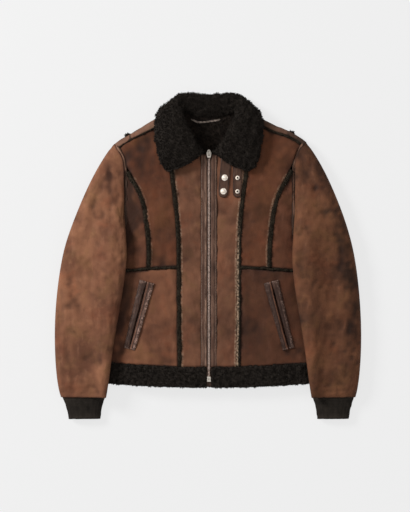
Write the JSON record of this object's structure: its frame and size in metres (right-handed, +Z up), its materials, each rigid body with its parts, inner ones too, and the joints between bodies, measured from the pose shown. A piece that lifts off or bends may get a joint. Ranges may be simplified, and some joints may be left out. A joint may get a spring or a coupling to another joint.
{
  "type": "shearling coat",
  "caption": "Short brown shearling coat laid flat: black wool collar, hem and exposed seams, front zip, slanted welt pockets, throat latch with snaps and knit cuffs.",
  "frame": {"origin": "middle of the coat's plan on the surface that it lies on", "axes": "+X across the coat to the right as it lies, +Y from the hem towards the collar, +Z up out of the surface"},
  "size_m": [0.7374, 0.7858, 0.0696],
  "materials": {
    "hide": "worn waxed suede",
    "wool": "curly clipped wool",
    "leather": "smooth, semi-matt, rubbed at the edges",
    "rib": "ribbed knit",
    "tape": "woven tape",
    "steel": "bright nickel, lightly worn"
  },
  "bodies": {
    "coat": {"back": "hide", "front_centre_left": "hide", "front_centre_right": "hide", "front_middle_left": "hide", "front_middle_right": "hide", "front_side_left": "hide", "front_side_right": "hide", "front_lower_left": "hide", "front_lower_right": "hide", "armhole_seam_left": "hide", "armhole_seam_right": "hide", "yoke_left": "hide", "yoke_right": "hide", "sleeve_top_left": "hide", "sleeve_top_right": "hide", "sleeve_under_left": "hide", "sleeve_under_right": "hide", "hem_back": "wool", "princess_wool_left": "wool", "princess_wool_right": "wool", "panel_wool_left": "wool", "panel_wool_right": "wool", "waist_wool_left": "wool", "waist_wool_right": "wool", "shoulder_wool_left": "wool", "shoulder_wool_right": "wool", "shoulder_tuft_left": "wool", "shoulder_tuft_right": "wool", "hem_front_left": "wool", "hem_front_right": "wool", "collar_left": "wool", "collar_right": "wool", "placket_left": "leather", "placket_right": "leather", "welt_side_left": "leather", "welt_side_right": "leather", "welt_front_left": "leather", "welt_front_right": "leather", "latch_tab_cap": "leather", "latch_tab_stud": "leather", "cuff_left": "rib", "cuff_right": "rib", "zip_tape_left": "tape", "zip_tape_right": "tape", "zip_chain": "steel", "zip_box": "steel", "zip_slider": "steel", "snap_cap_upper": "steel", "snap_cap_lower": "steel", "snap_stud_upper": "steel", "snap_stud_lower": "steel", "hanger_chain": "steel"},
    "pull": {"zip_pull": "steel"}
  },
  "joints": [
    {"name": "zip_pull_swing", "type": "hinge", "parent": "coat", "child": "pull", "pos_m": [0.0022, 0.24211, 0.04379], "axis": [1, 0, 0], "range_deg": [0, 160]}
  ]
}
